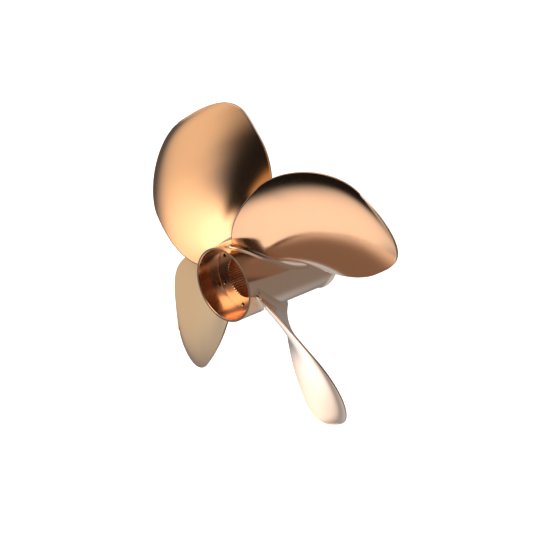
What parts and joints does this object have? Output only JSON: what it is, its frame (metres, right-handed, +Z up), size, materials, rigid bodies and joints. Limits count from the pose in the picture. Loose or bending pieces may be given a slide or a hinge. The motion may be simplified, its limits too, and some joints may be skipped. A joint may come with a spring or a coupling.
{
  "type": "ship propeller",
  "caption": "Fixed-pitch ship propeller: twisted blades on a conical hub with a splined bore, end recesses and screw holes, polished bronze.",
  "frame": {"origin": "on the shaft axis, halfway along the hub", "axes": "+Y along the shaft axis from the recessed near end to the flared far end, +Z up as in the picture, +X to the right seen from the near end"},
  "size_m": [0.5384, 0.209, 0.5384],
  "materials": {
    "hub_bronze": "polished bronze, turned",
    "blade_bronze": "mirror-polished bronze"
  },
  "bodies": {
    "root": {"hub": "hub_bronze", "blade_1": "blade_bronze", "blade_2": "blade_bronze", "blade_3": "blade_bronze", "blade_4": "blade_bronze"}
  },
  "joints": []
}
